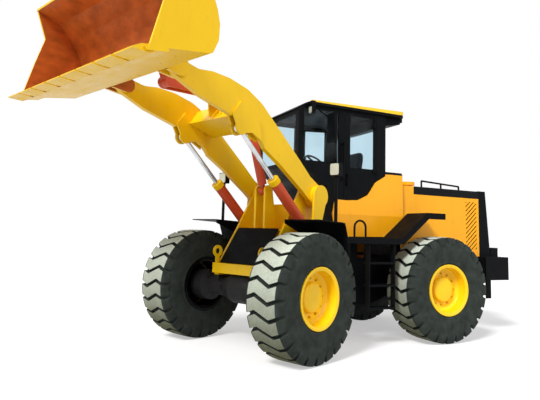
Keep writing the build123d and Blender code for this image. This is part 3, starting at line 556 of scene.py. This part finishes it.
def tread_columns(sizes):
    """Angles in pitches and heights of the columns round one pitch."""
    half = sizes.groove_share / 2
    groove = GROOVE_COLUMNS[:, 0] * half
    face = groove[-1] + FACE_COLUMNS * (1 + groove[0] - groove[-1])
    heights = np.concatenate([GROOVE_COLUMNS[:, 1], np.ones(len(FACE_COLUMNS))])
    return np.concatenate([groove, face]), heights


def tyre(name, place, side, sizes):
    """Tyre about X. Angle t and section parameter s give a point between the carcass and the lug's section,
    mixed by the column's height; each row is turned by the zigzag of its distance from the middle."""
    half = HALF_SECTION * np.array([1, 1, 1, 1])
    half[:12, 1] = 0.7465 - (0.7465 - half[:12, 1]) * np.interp(
        np.arange(12), [0, 4, 11], [sizes.lug_depth / 0.0425, sizes.lug_depth / 0.0425, 1])
    mirrored = half[:0:-1] * np.array([-1, 1, -1, 1])
    section = np.concatenate([mirrored, half])
    pitch_share, height = tread_columns(sizes)
    pitch = 2 * math.pi / sizes.lug_count
    turn = (np.arange(sizes.lug_count)[:, None] + pitch_share[None, :]).ravel() * pitch
    height = np.tile(height, sizes.lug_count)
    across = np.interp(section[:, 2], [-0.226, -0.098, 0.098, 0.226], [0, sizes.zigzag, -sizes.zigzag, 0])
    angle = sizes.tread_phase + turn[None, :] + across[:, None]
    x = section[:, 0, None] * (1 - height) + section[:, 2, None] * height
    radius = section[:, 1, None] * (1 - height) + section[:, 3, None] * height
    points = np.stack([x * side, -radius * np.cos(angle), radius * np.sin(angle)], axis=-1)
    faces = grid_faces(len(section), len(turn))
    if side > 0:
        faces = faces[:, ::-1]
    made = mesh_object(name, moved(points.reshape(-1, 3), place), faces, 32)
    flat = np.clip((0.2195 - np.abs(section[:, 2])) / 0.012, 0, 1)
    tread = (height[None, :] * flat[:, None]).ravel()
    made.data.attributes.new("tread", "FLOAT", "POINT").data.foreach_set("value", tread.astype(np.float32))
    return made


def cushion(name, half, place, crown, channels):
    """Padded block: a superellipsoid of half sizes a, b, c, crowned by a cosine and pressed in along
    sewn channels."""
    rows, columns = 48, 64
    up = np.linspace(-math.pi / 2 + 0.02, math.pi / 2 - 0.02, rows)[:, None]
    round_ = np.linspace(-math.pi, math.pi, columns, endpoint=False)[None, :]

    def power(value, exponent):
        return np.sign(value) * np.abs(value) ** exponent

    x = power(np.cos(up), 0.35) * power(np.cos(round_), 0.3)
    y = power(np.cos(up), 0.35) * power(np.sin(round_), 0.3)
    z = power(np.sin(up), 0.45) * np.ones_like(round_)
    crowned = 1 + crown * np.cos(x * math.pi / 2) * np.cos(y * math.pi / 2)
    sewn = sum(np.exp(-((y - line) / 0.05) ** 2) for line in channels)
    z = z * crowned - 0.22 * sewn * np.clip(z, 0, 1)
    points = np.stack([x * half[0], y * half[1], z * half[2]], axis=-1)
    faces = grid_faces(rows, columns, wrap_rows=False)
    ends = [list(range(columns))[::-1], list(range((rows - 1) * columns, rows * columns))]
    made = mesh_object(name, moved(points.reshape(-1, 3), place), faces, 60)
    fill_ends(made, ends)
    return made


def coordinates(mesh):
    """Every vertex of a mesh as one array."""
    points = np.empty(len(mesh.vertices) * 3)
    mesh.vertices.foreach_get("co", points)
    return points.reshape(-1, 3)


STUFFING_CELL = 0.006              # size of the cloth's cells
STUFFING_FRAMES = 20


def stuffed(obj, pressure, most):
    """Swell a closed cushion as cloth blown up from inside; no point moves farther than most."""
    even_cells = obj.modifiers.new("even_cells", "REMESH")
    even_cells.mode = "VOXEL"
    even_cells.voxel_size = STUFFING_CELL
    graph = bpy.context.evaluated_depsgraph_get()
    even = bpy.data.meshes.new_from_object(obj.evaluated_get(graph))
    obj.modifiers.clear()
    obj.data = even
    start = coordinates(even)
    cloth = obj.modifiers.new("stuffing", "CLOTH")
    cloth.settings.quality = 5
    cloth.settings.use_pressure = True
    cloth.settings.uniform_pressure_force = pressure
    cloth.settings.effector_weights.gravity = 0
    cloth.point_cache.frame_start = 1
    cloth.point_cache.frame_end = STUFFING_FRAMES
    for number in range(1, STUFFING_FRAMES + 1):
        bpy.context.scene.frame_set(number)
    graph = bpy.context.evaluated_depsgraph_get()
    swollen = bpy.data.meshes.new_from_object(obj.evaluated_get(graph))
    obj.modifiers.clear()
    bpy.context.scene.frame_set(1)
    step = coordinates(swollen) - start
    length = np.linalg.norm(step, axis=1)[:, None]
    end = start + step * np.minimum(1, most / np.maximum(length, 1e-9))
    even.vertices.foreach_set("co", end.ravel())
    even.polygons.foreach_set("use_smooth", np.ones(len(even.polygons), bool))
    even.update()
    bpy.data.meshes.remove(swollen)


def fill_ends(obj, loops):
    """Close an open tube's two ends with one face each."""
    work = bmesh.new()
    work.from_mesh(obj.data)
    work.verts.ensure_lookup_table()
    for loop in loops:
        work.faces.new([work.verts[index] for index in loop])
    bmesh.ops.recalc_face_normals(work, faces=work.faces)
    work.to_mesh(obj.data)
    work.free()


# ---- operators: one for each piece or group ------------------------------------------

PAINTED = {
    "yellow": ("front_frame", "cab_roof", "boom"),
    "red": ("bellcrank", "bucket_link"),
    "black": ("rear_frame", "counterweight", "rear_grille", "decks", "cab_shell", "roof_valance",
              "door_frame", "mirrors", "front_shield", "front_fenders", "headlamps", "hood_rails"),
}
GLASS_HALF_DEPTH = 0.007
# lamp glasses: name, body, frame, middle of the left one, half width and half height
LAMP_GLASSES = (
    ("headlamp_glass", "front_frame", FRONT, (1.062, -0.992, 2.303), (0.066, 0.074)),
    ("work_lamp_glass", "rear_frame", REAR, (0.735, -0.547, 3.200), (0.034, 0.046)),
)
CAST = ("engine_block", "front_axle", "rear_axle", "centre_pins")
WHEELS = {"front_left": 1, "front_right": -1, "rear_left": 1, "rear_right": -1}


def dress(node, material):
    mesh = frame["nodes"][node].data
    mesh.materials.clear()
    mesh.materials.append(material)


class LOADER_OT_enamel(bpy.types.Operator):
    """Paint the frames, cab, hood, boom and bucket"""
    bl_idname = "loader.enamel"
    bl_label = "Paint the steelwork"

    def execute(self, context):
        colours = context.scene.loader_colours
        for finish, nodes in PAINTED.items():
            colour = tuple(getattr(colours, finish))
            if finish == "black":
                coat = enamel("enamel_black", colour, 0.5, 0.1, 0.12, srgb(52, 50, 46), coat=0.0,
                              specular=MATT_SPECULAR)
            else:
                coat = enamel("enamel_" + finish, colour, dust=0.3)
            for node in nodes:
                dress(node, coat)
        dress("hood", enamel("enamel_hood", tuple(colours.orange), mask=hood_mask(colours)))
        dress("side_covers", enamel("enamel_covers", tuple(colours.orange), mask=cover_mask(colours)))
        inside = bucket_mask(colours)
        dress("bucket", enamel("enamel_bucket", tuple(colours.yellow), chips=0.5, mask=inside, coat=0.0))
        for wheel, side in WHEELS.items():
            # Painted shade: black on each rim's inboard side
            inboard = rim_inboard_shade(colours, JOINTS[f"wheel_{wheel}_spin"], side)
            dress("rim_" + wheel, enamel("enamel_rim_" + wheel, tuple(colours.rim), dust=0.3, mask=inboard))
        return {"FINISHED"}


class LOADER_OT_castings(bpy.types.Operator):
    """Finish the axles, gearbox, engine and pins"""
    bl_idname = "loader.castings"
    bl_label = "Finish the castings"

    def execute(self, context):
        colours = context.scene.loader_colours
        iron = casting("cast_iron", tuple(colours.iron))
        for node in CAST:
            dress(node, iron)
        dress("gearbox", casting("gearbox_casting", tuple(colours.gearbox_orange_in_shade)))
        return {"FINISHED"}


class LOADER_OT_cylinders(bpy.types.Operator):
    """Paint the cylinder barrels and polish the rods"""
    bl_idname = "loader.cylinders"
    bl_label = "Finish the cylinders"

    def execute(self, context):
        colours = context.scene.loader_colours
        chrome = chromed("chromed_rod")
        for node in frame["nodes"]:
            if "_barrel" in node:
                head = head_mask(colours, node)
                dress(node, enamel("enamel_" + node, tuple(colours.red), 0.34, 0.4, 0.35, mask=head))
            elif "_rod" in node:
                dress(node, chrome)
        return {"FINISHED"}


class LOADER_OT_cab(bpy.types.Operator):
    """Fit the panes, the trim and the seat's cushions"""
    bl_idname = "loader.cab"
    bl_label = "Fit out the cab"

    def execute(self, context):
        colours = context.scene.loader_colours
        glass = pane("safety_glass", colours.glass)
        dress("cab_glass", glass)
        dress("door_glass", glass)
        dress("consoles", moulded("moulded_trim", srgb(44, 44, 48)))
        dress("tail_lamps", tinted_lens("tail_lens", srgb(150, 24, 20)))
        cloth = woven("seat_cloth", tuple(colours.cloth))
        low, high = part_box("seat")
        x = (low[0] + high[0]) / 2
        seat_place = np.eye(4)         # in double precision: the cloth's cells shift with the last digits
        seat_place[:3, 3] = (x, low[1] + 0.18, low[2] + 0.062)
        lean = math.atan2(0.088, 0.75)
        back_place = Matrix.Translation((x, low[1] + 0.455, low[2] + 0.375)) @ Matrix.Rotation(
            math.pi / 2 - lean, 4, "X")
        for name, half, place, channels, replaced in (
                ("seat_cushion", (0.232, 0.162, 0.042), seat_place, (-0.35, 0.35), ("seat",)),
                ("seat_back", (0.25, 0.345, 0.036), back_place, (-0.4, 0.1, 0.5), ())):
            made = cushion(name, half, place, 0.16, channels)
            stuffed(made, pressure=4.0, most=0.012)
            finished(made, cloth, "rear_frame", replaced)
        return {"FINISHED"}


BOLT_CIRCLE = 0.222                # radius that the wheel nuts stand on
NUT_RADIUS = 0.015
NUT_ENDS = (0.060, 0.094)          # from the wheel's middle plane, outboard


def nuts(name, place, side, sizes):
    """Wheel nuts: hexagonal prisms. Corner k of nut n is the bolt circle's point n plus the nut's radius
    at 60 k degrees."""
    count = sizes.nut_count
    turn = np.arange(count)[:, None] * 2 * math.pi / count
    corner = np.arange(6)[None, :] * math.pi / 3
    up = BOLT_CIRCLE * np.cos(turn) + NUT_RADIUS * np.cos(corner)
    along = BOLT_CIRCLE * np.sin(turn) + NUT_RADIUS * np.sin(corner)
    out = np.broadcast_to(np.array(NUT_ENDS)[None, :, None], (count, 2, 6)) * side
    along, up = (np.broadcast_to(value[:, None], out.shape) for value in (along, up))
    points = np.stack([out, along, up], axis=-1)
    step = np.arange(6)
    sides = np.stack([step, (step + 1) % 6, (step + 1) % 6 + 6, step + 6], axis=-1)
    caps = np.array([(3, 2, 1, 0), (5, 4, 3, 0), (6, 7, 8, 9), (6, 9, 10, 11)])
    faces = np.concatenate([sides, caps])
    if side > 0:
        faces = faces[:, ::-1]
    all_faces = (faces[None] + np.arange(count)[:, None, None] * 12).reshape(-1, 4)
    return mesh_object(name, moved(points.reshape(-1, 3), place), all_faces, 20)


class LOADER_OT_fittings(bpy.types.Operator):
    """Fit the lamps' glasses and the wheel nuts"""
    bl_idname = "loader.fittings"
    bl_label = "Fit the lamp glasses and wheel nuts"

    def execute(self, context):
        sizes = context.scene.loader_sizes
        glass = lens("lamp_glass")
        upright = Matrix.Rotation(math.pi / 2, 4, "X")
        for name, body, frame_place, middle, half in LAMP_GLASSES:
            for side, word in ((1, "left"), (-1, "right")):
                place = Matrix(frame_place) @ Matrix.Translation((middle[0] * side, *middle[1:])) @ upright
                made = cushion(f"{name}_{word}", (*half, GLASS_HALF_DEPTH), place, 0.1, ())
                finished(made, glass, body)
        steel = enamel("enamel_nuts", scaled(context.scene.loader_colours.rim, 0.6), 0.4, 0.5, 0.4)
        for wheel, side in WHEELS.items():
            joint = JOINTS[f"wheel_{wheel}_spin"]
            place = place_of(joint["pos_m"], joint["axis"], joint["pos_m"][2])
            finished(nuts("wheel_nuts_" + wheel, place, side, sizes), steel, "wheel_" + wheel)
        return {"FINISHED"}


class LOADER_OT_tyres(bpy.types.Operator):
    """Mould the four lugged tyres"""
    bl_idname = "loader.tyres"
    bl_label = "Mould the tyres"

    def execute(self, context):
        sizes = context.scene.loader_sizes
        compound = rubber("tyre_rubber", context.scene.loader_colours)
        for wheel, side in WHEELS.items():
            joint = JOINTS[f"wheel_{wheel}_spin"]
            place = place_of(joint["pos_m"], joint["axis"], joint["pos_m"][2])
            made = tyre("lugged_tyre_" + wheel, place, side, sizes)
            finished(made, compound, "wheel_" + wheel, ("tyre_" + wheel,))
        return {"FINISHED"}


class LOADER_OT_studio(bpy.types.Operator):
    """Set up the pale floor, the soft lamps and the camera"""
    bl_idname = "loader.studio"
    bl_label = "Set up the studio"

    def execute(self, context):
        floor_and_sky(context.scene)
        lamps(context.scene)
        camera(context.scene)
        return {"FINISHED"}


# ---- studio ------------------------------------------------------------------------

def seen_rays(tree):
    """1 for rays from the camera and those that a gloss or a pane passes on."""
    path = tree.nodes.new("ShaderNodeLightPath")
    first = tree.nodes.new("ShaderNodeMath")
    first.operation = "MAXIMUM"
    second = tree.nodes.new("ShaderNodeMath")
    second.operation = "MAXIMUM"
    tree.links.new(path.outputs["Is Camera Ray"], first.inputs[0])
    tree.links.new(path.outputs["Is Glossy Ray"], first.inputs[1])
    tree.links.new(first.outputs[0], second.inputs[0])
    tree.links.new(path.outputs["Is Transmission Ray"], second.inputs[1])
    return second.outputs[0]


def floor_and_sky(scene):
    """A pale floor that keeps the machine's shadow, and a white surround."""
    side = scene.loader_sizes.floor_size / 2
    step = np.linspace(-side, side, 3)
    x, y = np.meshgrid(step, step, indexing="ij")
    points = np.stack([x, y, np.full_like(x, -0.001)], axis=-1)
    floor = mesh_object("studio_floor", points.reshape(-1, 3), grid_faces(3, 3, False, False)[:, ::-1])
    surface = Surface("pale_floor")
    tree = surface.tree
    drift = surface.range(surface.noise(0.7, 4), 0.3, 0.7)
    tint = surface.mix(drift, (0.58, 0.58, 0.58), (0.61, 0.61, 0.61))
    matt = surface.add("ShaderNodeBsdfDiffuse")
    surface.put(matt.inputs["Color"], tint)
    glow = surface.add("ShaderNodeEmission")
    surface.put(glow.inputs["Strength"], surface.math("MULTIPLY", seen_rays(tree), 0.45))
    total = surface.add("ShaderNodeAddShader")
    tree.links.new(matt.outputs[0], total.inputs[0])
    tree.links.new(glow.outputs[0], total.inputs[1])
    output = surface.add("ShaderNodeOutputMaterial")
    tree.links.new(total.outputs[0], output.inputs["Surface"])
    floor.data.materials.append(surface.material)
    world = bpy.data.worlds.new("studio_surround")
    world.use_nodes = True
    scene.world = world
    sky = world.node_tree.nodes["Background"]
    blend = world.node_tree.nodes.new("ShaderNodeMapRange")
    world.node_tree.links.new(seen_rays(world.node_tree), blend.inputs["Value"])
    blend.inputs["To Min"].default_value = 0.42
    blend.inputs["To Max"].default_value = 1.0
    world.node_tree.links.new(blend.outputs["Result"], sky.inputs["Strength"])
    sky.inputs["Color"].default_value = (1, 1, 1, 1)


def lamps(scene):
    """A broad key lamp from ahead of the machine and above, and a weaker fill from its side."""
    for name, energy, spread, towards in (
            ("key_lamp", 3.3, 14, (-0.42, 0.62, -0.66)),
            ("fill_lamp", 0.7, 40, (-0.8, -0.35, -0.45))):
        light = bpy.data.lights.new(name, "SUN")
        light.energy = energy
        light.angle = math.radians(spread)
        lamp = bpy.data.objects.new(name, light)
        scene.collection.objects.link(lamp)
        lamp.rotation_mode = "QUATERNION"
        lamp.rotation_quaternion = Vector(towards).to_track_quat("-Z", "Y")


def camera(scene):
    """Low three-quarter view from the machine's front left."""
    yaw, pitch, roll = math.radians(154.8), math.radians(6.79), math.radians(1.72)
    ahead = Vector((math.cos(yaw) * math.cos(pitch), math.sin(yaw) * math.cos(pitch), math.sin(pitch)))
    right = ahead.cross(Vector((0, 0, 1))).normalized()
    up = right.cross(ahead)
    rolled_right = right * math.cos(roll) + up * math.sin(roll)
    rolled_up = -right * math.sin(roll) + up * math.cos(roll)
    data = bpy.data.cameras.new("camera")
    data.lens = 34.133
    data.sensor_width = 36
    data.shift_y = -0.05
    data.clip_end = 500
    eye = bpy.data.objects.new("camera", data)
    scene.collection.objects.link(eye)
    turn = Matrix((rolled_right, rolled_up, -ahead)).transposed().to_4x4()
    eye.matrix_world = Matrix.Translation((6.1022, -3.4491, 1.463)) @ turn
    scene.camera = eye
    scene.view_settings.view_transform = "Standard"


# ---- panel and registration ----------------------------------------------------------

OPERATORS = (LOADER_OT_enamel, LOADER_OT_castings, LOADER_OT_cylinders, LOADER_OT_cab, LOADER_OT_fittings,
             LOADER_OT_tyres, LOADER_OT_studio)


class LOADER_PT_panel(bpy.types.Panel):
    """Lists the loader's steps, sizes and colours"""
    bl_idname = "LOADER_PT_panel"
    bl_label = "Wheel loader"
    bl_space_type = "VIEW_3D"
    bl_region_type = "UI"
    bl_category = "Loader"

    def draw(self, context):
        for step in OPERATORS:
            self.layout.operator(step.bl_idname)
        for group in (context.scene.loader_sizes, context.scene.loader_colours):
            box = self.layout.box()
            for name in group.bl_rna.properties.keys():
                if name not in ("rna_type", "name"):
                    box.prop(group, name)


CLASSES = (LoaderSizes, LoaderColours, *OPERATORS, LOADER_PT_panel)


def register():
    for each in CLASSES:
        bpy.utils.register_class(each)
    bpy.types.Scene.loader_sizes = bpy.props.PointerProperty(type=LoaderSizes)
    bpy.types.Scene.loader_colours = bpy.props.PointerProperty(type=LoaderColours)


def unregister():
    del bpy.types.Scene.loader_sizes
    del bpy.types.Scene.loader_colours
    for each in reversed(CLASSES):
        bpy.utils.unregister_class(each)


def main():
    register()
    for step in OPERATORS:
        group, name = step.bl_idname.split(".")
        getattr(getattr(bpy.ops, group), name)()


if __name__ == "__main__":
    main()
